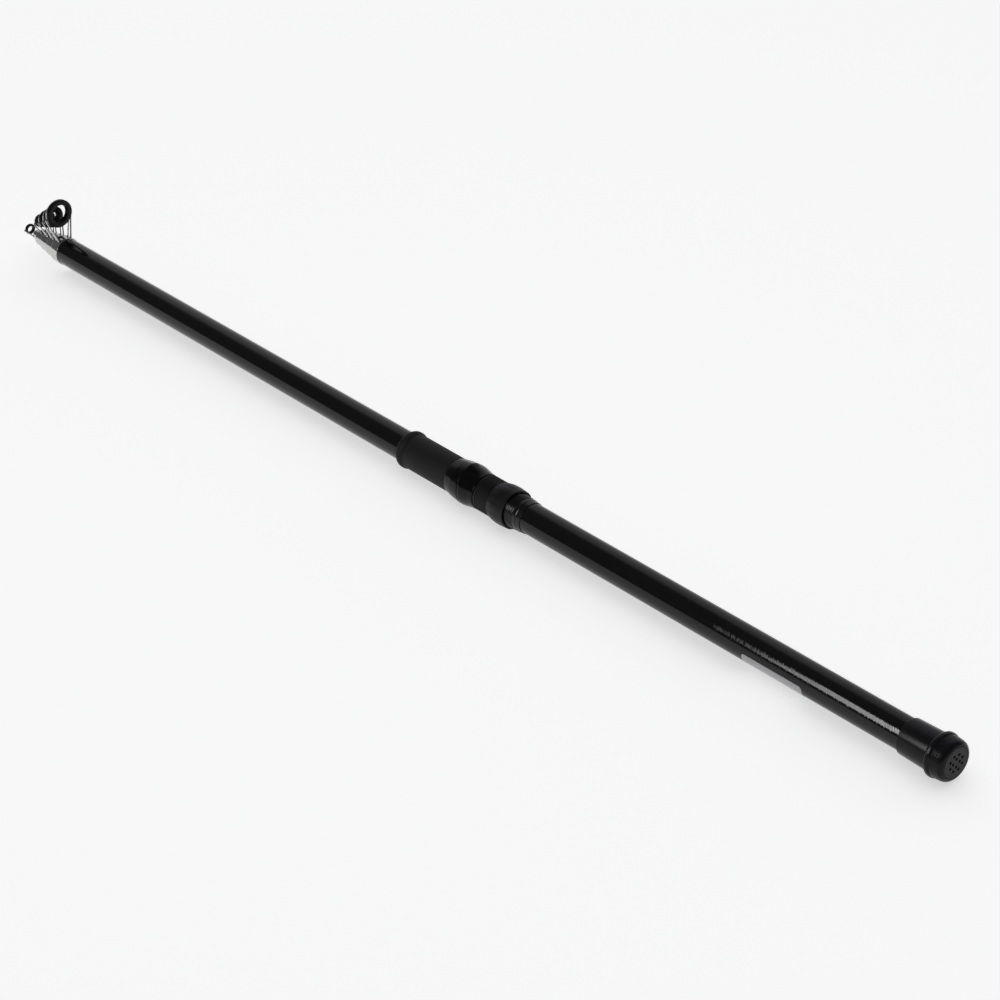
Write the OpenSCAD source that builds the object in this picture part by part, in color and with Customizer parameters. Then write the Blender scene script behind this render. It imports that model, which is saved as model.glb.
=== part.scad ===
// Telescopic fishing rod, closed: butt cap, handle, reel seat, four ring guides and tip-top.
// X runs from the butt face to the tip, Z is up on the side of the guides, Y is to the left.

/* [Handle] */
// Length from the butt face to the mouth of the handle
handle_len = 1034; // [900:1:1200]
// Outside diameter of the handle at the butt
handle_butt_d = 25.3; // [24.6:0.1:29]
// Outside diameter of the handle at the mouth
handle_mouth_d = 23.9; // [22:0.1:25]
// Wall of the handle tube
handle_wall = 1.1; // [0.9:0.05:1.4]
// Length of the end ring at the mouth
mouth_ring_len = 3; // [2.4:0.1:5]

/* [Butt cap] */
// Wall of the butt cap at its rim
cap_wall = 4.5; // [4:0.1:6]
// Length from the butt face to the front of the rim
collar_len = 14.2; // [13.6:0.1:18]
// Length of the whole butt cap
cap_len = 42.3; // [36:0.1:70]
// Difference of radius between the handle and the plug face
plug_inset = 0.65; // [0.5:0.05:1]
// Wall of the screwed insert
insert_wall = 2.38; // [1.8:0.02:3]
// Pitch of the plug thread
plug_pitch = 2; // [1.5:0.1:2.5]
// Wall of the hollow spigot of the plug
spigot_wall = 1.4; // [1.2:0.05:2]
// Diameter of the drain holes in the plug face
drain_d = 2.4; // [1.6:0.1:2.6]

/* [Reel seat] */
// Distance from the butt face to the rear end of the reel seat
seat_x = 426.6; // [330:0.2:500]
// Wall of the seat barrel under its thread
barrel_wall = 0.69; // [0.6:0.01:1.5]
// Height of the thread ridges on the barrel
thread_h = 0.5; // [0.4:0.02:0.6]
// Pitch of the barrel thread
seat_pitch = 2; // [1.8:0.1:2.4]
// Distance from the rear end of the seat to the lock nut
nut_back = 16.9; // [8:0.1:30]
// Wall of the lock nut over its grip
nut_wall = 2.7; // [2.3:0.1:4]
// Length of the lock nut grip
grip_len = 18.5; // [16:0.5:26]
// Length of the ribbed neck of the lock nut
neck_len = 16.7; // [12:0.1:20]
// Wall of both hoods at their lips
hood_wall = 3.1; // [2.8:0.1:4]
// Length of the movable hood
hood_len = 15.5; // [14:0.1:28]
// Length of the fixed hood
fixed_len = 17.6; // [15:0.1:24]
// Height of the pockets for the reel foot above the thread
foot_h = 3.1; // [2.6:0.1:3.6]
// Width of the round top of these pockets
pocket_d = 19; // [17:0.1:21]

/* [Foregrip] */
// Wall of the rubber foregrip
foregrip_wall = 1.25; // [1:0.05:2]
// Length of the rubber foregrip
foregrip_len = 49.9; // [30:0.1:70]
// Height of the bead over the foregrip
bead_rise = 1.1; // [0.8:0.1:2]
// Length of the bead
bead_len = 7.5; // [6.6:0.1:14]

/* [Sections] */
// Wall of the drawn tubes
tube_wall = 0.95; // [0.8:0.01:1.05]
// Difference of diameter from butt to tip of one drawn tube
tube_taper = 0.9; // [0.7:0.05:1.1]
// Difference of diameter between a drawn tube and the tube around it at the far end
slide_play = 0.12; // [0.08:0.01:0.16]
// Diameter of the tip at the tip-top
tip_d = 3.2; // [2.6:0.1:3.6]

/* [Guides] */
// Length of one guide sleeve
sleeve_len = 9.6; // [9:0.1:13]
// Wall of the sleeve on section 2
sleeve_2_wall = 2.1; // [1.6:0.01:2.6]
// Wall of the sleeve on section 3
sleeve_3_wall = 1.8; // [1.6:0.01:2.4]
// Wall of the sleeve on section 4
sleeve_4_wall = 1.85; // [1.6:0.01:2.4]
// Wall of the sleeve on section 5
sleeve_5_wall = 1.75; // [1.6:0.01:2.4]
// Outside diameter of the largest ring
ring_2_d = 25.4; // [23:0.1:29]
// Outside diameter of the second ring
ring_3_d = 19.4; // [18:0.1:22]
// Outside diameter of the third ring
ring_4_d = 15.8; // [14.4:0.1:17.6]
// Outside diameter of the fourth ring
ring_5_d = 11.6; // [10.8:0.1:13]
// Height of the largest ring centre above its sleeve
ring_2_rise = 20.8; // [18:0.1:26]
// Height of the second ring centre above its sleeve
ring_3_rise = 16; // [14:0.1:18]
// Height of the third ring centre above its sleeve
ring_4_rise = 11.8; // [10.4:0.1:13]
// Height of the fourth ring centre above its sleeve
ring_5_rise = 7.9; // [7:0.1:9]
// Bore of the largest ring
ring_2_bore = 15.9; // [12:0.1:16]
// Bore of the second ring
ring_3_bore = 8.4; // [7:0.1:11]
// Bore of the third ring
ring_4_bore = 7.6; // [6:0.1:9]
// Bore of the fourth ring
ring_5_bore = 6; // [4.6:0.1:6.6]
// Thickness of a ring along the line
ring_t = 4.6; // [4.2:0.1:5.2]
// Diameter of the guide wire
wire_d = 1.5; // [1.3:0.05:1.7]
// Distance of a ring ahead of the middle of its sleeve
ring_ahead = 5.5; // [4:0.1:8]

/* [Tip-top] */
// Length of the tip-top tube
tip_tube_len = 8.1; // [7:0.1:14]
// Overhang of the tip-top tube over the mouth of section 5
tip_stop = 0.19; // [0.15:0.01:0.6]
// Outside diameter of the tip-top ring
tip_ring_d = 9.6; // [9.6:0.1:11]
// Bore of the tip-top ring
tip_bore_d = 5.5; // [4.2:0.1:5.5]
// Thickness of the tip-top ring along the line
tip_ring_t = 2.8; // [2.6:0.1:3.4]
// Height of the tip-top ring centre above the axis
tip_ring_z = 1.1; // [0:0.1:2]
// Distance of the tip-top ring ahead of its tube
tip_ring_ahead = 10.7; // [6:0.1:13]

/* [Hidden] */
$fn = 96;
// Gap between faces that only meet, and radial play of glued, pressed and running fits
face_gap = 0.3;
glue_gap = 0.05;
run_gap = 0.1;
seat_gap = 0.1;
eps = 0.01;
// Broken edge of a moulded or turned piece
edge = 0.4;

// Handle tube
plug_t = 3;
seal_t = 2.3;
handle_x0 = plug_t + seal_t + 2 * seat_gap;
handle_x1 = handle_len - mouth_ring_len;
handle_r0 = handle_butt_d / 2;
handle_r1 = handle_mouth_d / 2;
mouth_r = handle_r1 - handle_wall;
function handle_r(x) = handle_r0 + (handle_r1 - handle_r0) * x / handle_len;
function handle_in(x) = handle_r(x) - handle_wall;

// Butt cap and its plug
cap_bore = handle_r0 + glue_gap;
cap_r = cap_bore + cap_wall;
cap_x0 = 0.3;
end_round = 3.9;
rim_len = 3.4;
collar_r0 = cap_r - 1.3;
collar_r1 = cap_r - 0.9;
sleeve_rear_r = cap_r - 2.4;
sleeve_front_r = cap_bore + 1.35;
rib_n = 4;
rib_pitch = 1.8;
plug_r = handle_r0 - plug_inset;
recess_r = plug_r + 0.15;
insert_x1 = 24;
insert_r = handle_in(insert_x1) - glue_gap;
spigot_r = insert_r - insert_wall - run_gap;
spigot_x1 = insert_x1 - 3;
spigot_in = spigot_r - spigot_wall;
seal_r = spigot_r + 1.6;
seal_x0 = plug_t + seat_gap;
seal_x1 = seal_x0 + seal_t;
bumper_x0 = spigot_x1 + glue_gap;
bumper_x1 = bumper_x0 + 6;
bumper_r = spigot_r - edge;
bumper_bore = 2.5;

// Reel seat, from its rear end forward
seat_bore = handle_r(seat_x) + glue_gap;
trim_len = 6.4;
barrel_x0 = seat_x + trim_len + eps;
barrel_r = seat_bore + barrel_wall;
crest_r = barrel_r + thread_h;
run_r = crest_r + run_gap;
glue_r = barrel_r + glue_gap;
nut_x0 = seat_x + nut_back;
nut_step = nut_x0 + grip_len;
nut_x1 = nut_step + neck_len;
hood_x0 = nut_x1 + face_gap;
hood_x1 = hood_x0 + hood_len;
fixed_x0 = hood_x1 + face_gap;
fixed_x1 = fixed_x0 + fixed_len;
grip_x0 = fixed_x1 + face_gap;
grip_x1 = grip_x0 + foregrip_len;
bead_x0 = grip_x1 + face_gap;
bead_x1 = bead_x0 + bead_len;
nut_r = run_r + nut_wall;
neck_r = run_r + 1.05;
skirt_r = run_r + 0.6;
flute_n = 12;
flute_r = 6;
flute_depth = 0.6;
hood_r = run_r + hood_wall;
pocket_r = pocket_d / 2;
pocket_z = run_r + foot_h - pocket_r;
pocket_wall = 1.5;
pocket_end = 4.5;
foregrip_r = glue_r + foregrip_wall;
bead_r = foregrip_r + bead_rise;
thread_n = floor((hood_x1 - barrel_x0 - 1) / seat_pitch);

// Drawn sections 2 to 5: outside radius at the butt and tip end, tube ends
sec_x0 = bumper_x1 + 4;
sec_step = 3;
sec_end = 0.6;
function sleeve_x0(i) = handle_len + face_gap + (i - 2) * (sleeve_len + face_gap);
function sleeve_x1(i) = sleeve_x0(i) + sleeve_len;
function sec_start(i) = sec_x0 + (i - 2) * sec_step;
function sec_in(i) = i == 1 ? mouth_r : sec_tip(i) - tube_wall;
function sec_butt(i) = sec_in(i - 1) - slide_play / 2;
function sec_tip(i) = sec_butt(i) - tube_taper / 2;

// Guides 2 to 5
sleeve_wall = [0, 0, sleeve_2_wall, sleeve_3_wall, sleeve_4_wall, sleeve_5_wall];
ring_d = [0, 0, ring_2_d, ring_3_d, ring_4_d, ring_5_d];
ring_bore = [0, 0, ring_2_bore, ring_3_bore, ring_4_bore, ring_5_bore];
ring_rise = [0, 0, ring_2_rise, ring_3_rise, ring_4_rise, ring_5_rise];
function sleeve_bore(i) = sec_tip(i) + glue_gap + tube_taper * 0.006;
function sleeve_r(i) = sleeve_bore(i) + sleeve_wall[i];
function ring_r(i) = ring_d[i] / 2;
function ring_z(i) = sleeve_r(i) + ring_rise[i];
function ring_x(i) = sleeve_x0(i) + sleeve_len / 2 + ring_ahead;
function wire_r(i) = wire_d / 2 * (1 - 0.09 * (i - 2));
// Foot of a leg along the sleeve, angle of its end from the bottom of the ring, angle of its foot from the top
legs = [[sleeve_len * 0.76, 52, 30], [sleeve_len * 0.36, 76, 32]];
leg_gap = 0.3;
leg_share = 0.9;
// Reach of a leg past its bend and thickness of its last stretch, as shares of the wire
bend_past = 0.4;
bend_share = 0.96;

// Hoop that holds a ring: its radius and place for a ring of radius r and thickness t and a wire of radius w
hoop_in = 0.15;
function hoop_r(r, w) = r - hoop_in - w;
function hoop_dx(t, w) = t / 2 - w * 1.05;
function shoulder_r(r, w, gap) = r + gap + leg_share * w;

// Tip section and tip-top
tip_butt_r = sec_in(5) - slide_play / 2;
tip_x0 = sec_start(6);
tip_tube_x0 = sleeve_x1(5) + face_gap;
tip_tube_x1 = tip_tube_x0 + tip_tube_len;
tip_tube_r = sec_in(5) + tip_stop;
tip_r = tip_d / 2;
tip_straight = 8;
tip_ring_r = tip_ring_d / 2;
tip_wire_r = 0.55;
tip_leg_gap = 0.5;
tip_foot_share = 0.94;
tip_ring_x = tip_tube_x1 + tip_ring_ahead;

// Turns an outline of [radius, distance along the rod] points about the rod's axis
module spun(points)
{
    rotate([0, 90, 0])
        rotate_extrude()
            polygon(points);
}

// Round bar along X with a radius at each end
module bar_x(x0, x1, ra, rb)
{
    translate([x0, 0, 0])
        rotate([0, 90, 0])
            cylinder(h = x1 - x0, r1 = ra, r2 = rb);
}

// Straight wire between two points
module wire(a, b, r)
{
    v = b - a;
    len = norm(v);
    translate(a)
        rotate([0, acos(v[2] / len), atan2(v[1], v[0])])
            cylinder(h = len, r = r);
}

// Ring of round wire across the rod's axis
module hoop(x, z, ring_r, r)
{
    translate([x, 0, z])
        rotate([0, 90, 0])
            rotate_extrude()
                translate([ring_r, 0])
                    circle(r = r, $fn = 32);
}

module handle_blank()
{
    color([0.02, 0.02, 0.02])
        spun([
            [handle_in(handle_x0), handle_x0],
            [handle_r(handle_x0), handle_x0],
            [handle_r(handle_x1), handle_x1],
            [handle_in(handle_x1), handle_x1]
        ]);
}

module mouth_ring()
{
    ring_r = handle_r(handle_x1);
    color([0.3, 0.3, 0.3])
        spun([
            [mouth_r, handle_x1 + eps],
            [ring_r, handle_x1 + eps],
            [ring_r, handle_len - edge * 4],
            [ring_r - edge / 2, handle_len - edge * 1.8],
            [ring_r - edge * 1.8, handle_len],
            [mouth_r, handle_len]
        ]);
}

// Rubber cap on the butt: ribbed collar with a rim behind, plain sleeve in front
module butt_sleeve()
{
    rim_x0 = collar_len - rim_len;
    color([0.06, 0.06, 0.07])
        difference()
        {
            spun([
                [cap_bore, handle_x0 - glue_gap],
                [recess_r, handle_x0 - glue_gap],
                [recess_r, cap_x0],
                [recess_r + edge, cap_x0],
                [collar_r0 - 2.3, end_round * 0.23],
                [collar_r0 - 0.6, end_round * 0.6],
                [collar_r0, end_round],
                [collar_r1, rim_x0],
                [cap_r - 0.15, rim_x0 + rim_len * 0.3],
                [cap_r, rim_x0 + rim_len * 0.6],
                [cap_r - 0.1, collar_len],
                [cap_r - 1, collar_len + 1.2],
                [sleeve_rear_r, collar_len + 3.2],
                [sleeve_front_r, cap_len - edge * 2],
                [sleeve_front_r - edge, cap_len],
                [cap_bore, cap_len]
            ]);
            for (i = [0 : rib_n - 1])
            {
                x = end_round + edge + i * rib_pitch;
                r = collar_r0 + (collar_r1 - collar_r0) * (x - end_round) / (rim_x0 - end_round);
                hoop(x, 0, r + 0.15, 0.5);
            }
        }
}

// Screwed bush glued inside the butt of the handle
module threaded_insert()
{
    color([0.1, 0.1, 0.1])
        spun([
            [spigot_r + run_gap, handle_x0 + glue_gap],
            [insert_r, handle_x0 + glue_gap],
            [insert_r, insert_x1],
            [spigot_r + run_gap, insert_x1]
        ]);
}

// Plug with a perforated face and a hollow spigot that screws into the insert
module butt_plug()
{
    color([0.22, 0.22, 0.21])
        difference()
        {
            spun([
                [0, 0],
                [plug_r - edge, 0],
                [plug_r, edge],
                [plug_r, plug_t],
                [spigot_r, plug_t],
                [spigot_r, spigot_x1],
                [0, spigot_x1]
            ]);
            bar_x(plug_t, spigot_x1 + 1, spigot_in, spigot_in);
            for (i = [0 : 3])
                drain(spigot_in * 0.42, i * 90);
            for (i = [0 : 7])
                drain(spigot_in - drain_d / 2 - 0.1, 22.5 + i * 45);
            for (i = [0 : 4])
                hoop(plug_t + 4 + i * plug_pitch * 1.4, 0, spigot_r + 0.1, 0.5);
        }
}

module drain(r, angle)
{
    rotate([angle, 0, 0])
        translate([-1, 0, r])
            rotate([0, 90, 0])
                cylinder(h = plug_t + 2, r = drain_d / 2, $fn = 32);
}

module plug_seal_ring()
{
    color([0.03, 0.03, 0.03])
        spun([
            [spigot_r + glue_gap, seal_x0],
            [seal_r, seal_x0],
            [seal_r, seal_x1],
            [spigot_r + glue_gap, seal_x1]
        ]);
}

// Soft stop for the butts of the drawn sections
module bumper_pad()
{
    color([0.05, 0.05, 0.05])
        spun([
            [bumper_bore, bumper_x0],
            [bumper_r, bumper_x0],
            [bumper_r, bumper_x1],
            [bumper_bore, bumper_x1]
        ]);
}

// Barrel of the reel seat with its thread drawn as ridges
module seat_barrel()
{
    half = seat_pitch / 2;
    ridges = [
        for (i = [0 : thread_n - 1])
            for (p = [[barrel_r, 0.3], [crest_r, 0.3 + half * 0.6], [crest_r, half], [barrel_r, half * 1.6]])
                [p[0], barrel_x0 + 0.3 + i * seat_pitch + p[1]]
    ];
    color([0.04, 0.04, 0.04])
        spun(concat(
            [[seat_bore, barrel_x0], [barrel_r, barrel_x0]],
            ridges,
            [[barrel_r, grip_x1], [seat_bore, grip_x1]]
        ));
}

module seat_rear_trim()
{
    color([0.03, 0.03, 0.03])
        spun([
            [seat_bore, seat_x],
            [seat_bore + 0.4, seat_x],
            [seat_bore + 0.7, seat_x + 0.8],
            [barrel_r + 0.1, seat_x + 4.6],
            [crest_r - 0.1, seat_x + 5.2],
            [crest_r - 0.1, seat_x + trim_len],
            [seat_bore, seat_x + trim_len]
        ]);
}

// Nut with a fluted grip and a ribbed neck
module lock_nut()
{
    color([0.08, 0.08, 0.09])
        difference()
        {
            spun([
                [run_r, nut_step - 2],
                [skirt_r, nut_step - 2.6],
                [skirt_r, nut_x0],
                [nut_r - 1.1, nut_x0],
                [nut_r - 0.5, nut_x0 + 0.6],
                [nut_r - 0.4, nut_x0 + 3.4],
                [nut_r, nut_x0 + grip_len * 0.45],
                [nut_r - 0.3, nut_x0 + grip_len * 0.75],
                [neck_r + 0.5, nut_step],
                [neck_r + 0.05, nut_step + 0.5],
                [neck_r + 0.05, nut_x1],
                [run_r, nut_x1]
            ]);
            for (i = [0 : flute_n - 1])
                rotate([(i + 0.5) * 360 / flute_n, 0, 0])
                    translate([0, 0, nut_r + flute_r - flute_depth])
                        bar_x(nut_x0 + 3, nut_step - 1.2, flute_r, flute_r);
            for (x = [nut_step + 1.6 : seat_pitch : nut_x1 - 0.9])
                hoop(x, 0, neck_r + 0.25, 0.5);
        }
}

// Hood that slides on the barrel and holds the rear of the reel foot
module movable_hood()
{
    color([0.03, 0.03, 0.03])
        difference()
        {
            union()
            {
                spun([
                    [run_r, hood_x0],
                    [neck_r - 0.1, hood_x0],
                    [neck_r + 0.1, hood_x0 + 0.4],
                    [hood_r - 1.5, hood_x0 + hood_len * 0.34],
                    [hood_r - 0.55, hood_x0 + hood_len * 0.68],
                    [hood_r, hood_x1 - 2],
                    [hood_r, hood_x1 - 0.5],
                    [hood_r - 0.5, hood_x1],
                    [run_r, hood_x1]
                ]);
                difference()
                {
                    translate([0, 0, pocket_z])
                        bar_x(hood_x0 + 2, hood_x1, pocket_r - 2, pocket_r + pocket_wall);
                    bar_x(hood_x0, hood_x1 + 1, run_r, run_r);
                }
            }
            translate([0, 0, pocket_z])
                bar_x(hood_x0 + pocket_end, hood_x1 + eps, pocket_r - 1.6, pocket_r);
        }
}

// Hood fixed on the barrel that holds the front of the reel foot
module fixed_hood()
{
    color([0.03, 0.03, 0.03])
        difference()
        {
            union()
            {
                spun([
                    [glue_r, fixed_x0],
                    [hood_r - 0.5, fixed_x0],
                    [hood_r, fixed_x0 + 0.5],
                    [hood_r, fixed_x0 + 2],
                    [hood_r - 0.6, fixed_x0 + fixed_len * 0.5],
                    [foregrip_r + 0.4, fixed_x1 - 1],
                    [foregrip_r, fixed_x1],
                    [glue_r, fixed_x1]
                ]);
                difference()
                {
                    translate([0, 0, pocket_z])
                        bar_x(fixed_x0, fixed_x1 - 1, pocket_r + pocket_wall, pocket_r - 2.2);
                    bar_x(fixed_x0 - 1, fixed_x1, glue_r, glue_r);
                }
            }
            translate([0, 0, pocket_z])
                bar_x(fixed_x0 - eps, fixed_x1 - pocket_end, pocket_r, pocket_r - 2.2);
        }
}

module foregrip_sleeve()
{
    color([0.12, 0.12, 0.12])
        spun([
            [glue_r, grip_x0],
            [foregrip_r - 0.3, grip_x0],
            [foregrip_r, grip_x0 + 0.4],
            [foregrip_r, grip_x1],
            [glue_r, grip_x1]
        ]);
}

// Bead that closes the reel seat ahead of the foregrip
module foregrip_bead()
{
    color([0.1, 0.1, 0.1])
        spun([
            [seat_bore, bead_x0],
            [foregrip_r, bead_x0],
            [foregrip_r + bead_rise * 0.2, bead_x0 + bead_len * 0.07],
            [bead_r - bead_rise * 0.2, bead_x0 + bead_len * 0.24],
            [bead_r, bead_x0 + bead_len * 0.4],
            [bead_r, bead_x0 + bead_len * 0.62],
            [bead_r - bead_rise * 0.4, bead_x0 + bead_len * 0.8],
            [bead_r - bead_rise, bead_x0 + bead_len * 0.92],
            [foregrip_r - 0.6, bead_x1],
            [seat_bore, bead_x1]
        ]);
}

// Tube of drawn section i
module section_tube(i)
{
    x0 = sec_start(i);
    x1 = sleeve_x1(i) - sec_end;
    color([0.03, 0.03, 0.03])
        spun([
            [sec_butt(i) - tube_wall, x0],
            [sec_butt(i), x0],
            [sec_tip(i), x1],
            [sec_in(i), x1]
        ]);
}

// Wire leg from its foot to a shoulder beside the ring and on to the hoop behind it
module leg(foot, shoulder, hub, r)
{
    past = bend_past * r;
    wire(foot, shoulder + (shoulder - foot) / norm(shoulder - foot) * past, r);
    wire(hub, shoulder + (shoulder - hub) / norm(shoulder - hub) * past, r * bend_share);
}

// Sleeve of guide i with its four wire legs and the hoop that carries the ring
module guide_frame(i)
{
    x0 = sleeve_x0(i);
    x1 = sleeve_x1(i);
    outer = sleeve_r(i);
    bore = sleeve_bore(i);
    w = wire_r(i);
    foot = (outer + bore) / 2;
    hub = hoop_r(ring_r(i), w);
    shoulder = shoulder_r(ring_r(i), w, leg_gap);
    hoop_x = ring_x(i) + hoop_dx(ring_t, w);
    color([0.7, 0.7, 0.7])
    {
        spun([
            [bore, x0],
            [outer - edge, x0],
            [outer, x0 + edge],
            [outer, x1 - edge * 2],
            [outer - edge, x1],
            [bore, x1]
        ]);
        hoop(hoop_x, ring_z(i), hub, w);
        for (s = [-1, 1])
            for (l = legs)
                leg(
                    [x0 + l[0], s * foot * sin(l[2]), foot * cos(l[2])],
                    [hoop_x, s * shoulder * sin(l[1]), ring_z(i) - shoulder * cos(l[1])],
                    [hoop_x, s * hub * sin(l[1]), ring_z(i) - hub * cos(l[1])],
                    w * leg_share
                );
    }
}

// Black line ring: a flange behind, a spigot held by the hoop in front
module line_ring(x, z, r, bore, t, w)
{
    spigot = hoop_r(r, w) - w - seat_gap;
    x0 = x - t / 2;
    x1 = x + t / 2;
    mid = x + hoop_dx(t, w) - w - seat_gap;
    round_r = t * 0.16;
    color([0.08, 0.08, 0.085])
        spun_at(z, [
            [bore, x0 + round_r],
            [bore + round_r, x0],
            [r - round_r, x0],
            [r, x0 + round_r],
            [r, mid - 0.2],
            [r - 0.2, mid],
            [spigot, mid],
            [spigot, x1 - 0.3],
            [spigot - 0.3, x1],
            [bore + 0.3, x1],
            [bore, x1 - 0.3]
        ]);
}

module guide_ring(i)
{
    line_ring(ring_x(i), ring_z(i), ring_r(i), ring_bore[i] / 2, ring_t, wire_r(i));
}

module spun_at(z, points)
{
    translate([0, 0, z])
        spun(points);
}

module tip_blank()
{
    color([0.03, 0.03, 0.03])
        spun([
            [0, tip_x0],
            [tip_butt_r, tip_x0],
            [tip_r, tip_tube_x0 - tip_straight],
            [tip_r, tip_tube_x1 - sec_end],
            [0, tip_tube_x1 - sec_end]
        ]);
}

// Tip-top: tube on the tip, two wires and the hoop of the last ring
module tip_top_frame()
{
    bore = tip_r + glue_gap;
    foot = tip_tube_r * tip_foot_share;
    hub = hoop_r(tip_ring_r, tip_wire_r);
    shoulder = shoulder_r(tip_ring_r, tip_wire_r, tip_leg_gap);
    hoop_x = tip_ring_x + hoop_dx(tip_ring_t, tip_wire_r);
    color([0.7, 0.7, 0.7])
    {
        spun([
            [bore, tip_tube_x0],
            [tip_tube_r - edge, tip_tube_x0],
            [tip_tube_r, tip_tube_x0 + edge],
            [tip_tube_r - edge, tip_tube_x1 - 1],
            [tip_tube_r - 1, tip_tube_x1],
            [bore, tip_tube_x1]
        ]);
        hoop(hoop_x, tip_ring_z, hub, tip_wire_r);
        for (s = [-1, 1])
            leg(
                [tip_tube_x1 - 2, s * foot, 0],
                [hoop_x, s * shoulder, tip_ring_z],
                [hoop_x, s * hub, tip_ring_z],
                tip_wire_r * leg_share
            );
    }
}

module tip_top_ring()
{
    line_ring(tip_ring_x, tip_ring_z, tip_ring_r, tip_bore_d / 2, tip_ring_t, tip_wire_r);
}

handle_blank();
mouth_ring();
butt_sleeve();
threaded_insert();
butt_plug();
plug_seal_ring();
bumper_pad();
seat_barrel();
seat_rear_trim();
lock_nut();
movable_hood();
fixed_hood();
foregrip_sleeve();
foregrip_bead();
section_tube(2);  // section_2_blank
guide_frame(2);  // guide_2_frame
guide_ring(2);  // guide_2_ring
section_tube(3);  // section_3_blank
guide_frame(3);  // guide_3_frame
guide_ring(3);  // guide_3_ring
section_tube(4);  // section_4_blank
guide_frame(4);  // guide_4_frame
guide_ring(4);  // guide_4_ring
section_tube(5);  // section_5_blank
guide_frame(5);  // guide_5_frame
guide_ring(5);  // guide_5_ring
tip_blank();
tip_top_frame();
tip_top_ring();
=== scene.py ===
import math
from functools import lru_cache

import bmesh
import bpy
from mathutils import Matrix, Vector


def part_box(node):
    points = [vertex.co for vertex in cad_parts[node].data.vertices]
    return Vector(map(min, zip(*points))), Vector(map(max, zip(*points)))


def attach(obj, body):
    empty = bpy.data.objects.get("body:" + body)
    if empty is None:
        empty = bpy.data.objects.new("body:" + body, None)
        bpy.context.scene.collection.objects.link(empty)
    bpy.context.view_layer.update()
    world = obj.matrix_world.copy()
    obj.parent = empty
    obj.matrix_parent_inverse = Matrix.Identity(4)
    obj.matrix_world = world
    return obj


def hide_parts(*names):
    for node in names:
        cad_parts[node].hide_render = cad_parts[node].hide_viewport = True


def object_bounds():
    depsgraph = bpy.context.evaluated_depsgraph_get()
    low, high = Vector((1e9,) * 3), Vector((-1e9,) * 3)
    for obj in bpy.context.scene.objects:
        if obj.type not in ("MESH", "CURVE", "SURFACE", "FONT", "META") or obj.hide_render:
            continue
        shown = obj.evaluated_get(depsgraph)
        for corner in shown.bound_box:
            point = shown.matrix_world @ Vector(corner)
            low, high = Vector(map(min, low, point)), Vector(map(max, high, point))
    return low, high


bl_info = {
    "name": "Telescopic fishing rod",
    "version": (1, 0, 0),
    "blender": (4, 5, 0),
    "location": "View3D > Sidebar > Rod",
    "description": "Dresses a closed telescopic rod: handle, reel seat, butt cap, guides and stage",
    "category": "Object",
}

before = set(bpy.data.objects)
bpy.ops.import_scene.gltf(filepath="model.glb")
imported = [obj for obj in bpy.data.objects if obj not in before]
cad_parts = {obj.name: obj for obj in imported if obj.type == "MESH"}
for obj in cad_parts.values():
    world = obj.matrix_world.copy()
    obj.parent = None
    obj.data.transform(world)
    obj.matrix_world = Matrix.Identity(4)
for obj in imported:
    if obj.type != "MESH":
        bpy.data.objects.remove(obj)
CAD_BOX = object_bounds()

MM = 0.001
SEGMENTS = 160  # points round a turned piece
RING_SEGMENTS = 96  # points round a line ring
SHARP_ANGLE = math.radians(38)
WELD = 1e-7  # points of a grown mesh that are nearer than this become one
RELIEF = 0.0002  # full height of a finish's fine relief
ABOUT_X = (0, math.pi / 2, 0)  # turns what stands about Z so that it stands about X

GUIDES = (2, 3, 4, 5)
BORES = {2: 7.95, 3: 4.2, 4: 3.8, 5: 3.0}  # radius of each line ring's bore in mm
TIP_BORE = 2.75

HANDLE_WALL = 1.1 * MM
SECTION_WALL = 0.95 * MM
SECTION_TAPER = 0.45 * MM  # what a drawn section loses in radius along its length

# Gaps between nested pieces.
CAP_GAP = 0.05 * MM
SEAT_GAP = 0.06 * MM
BEAD_GAP = 0.07 * MM
SLEEVE_GAP = 0.055 * MM
PLUG_GAP = 0.15 * MM
RUN_GAP = 0.1 * MM  # over the crest of the seat's thread, for what runs on it
GLUED = 0.45 * MM  # depth under that crest of what is glued on ahead of the thread

# Pocket for the reel foot, in mm: its height over the running surface and its radius there.
POCKET_HEIGHT = 3.1
POCKET_RADIUS = 9.5

# Sets of silver strokes: two angles from the top in degrees, share of places filled, seed.
MARK_SETS = ((50, 61, 0.84, 7), (47, 58, 0.24, 11), (52, 65, 0.24, 19))

# Legs of a guide: share of the sleeve where one starts, its angle under the ring and on the sleeve.
GUIDE_LEGS = ((0.76, 52, 30), (0.36, 76, 32))

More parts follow.
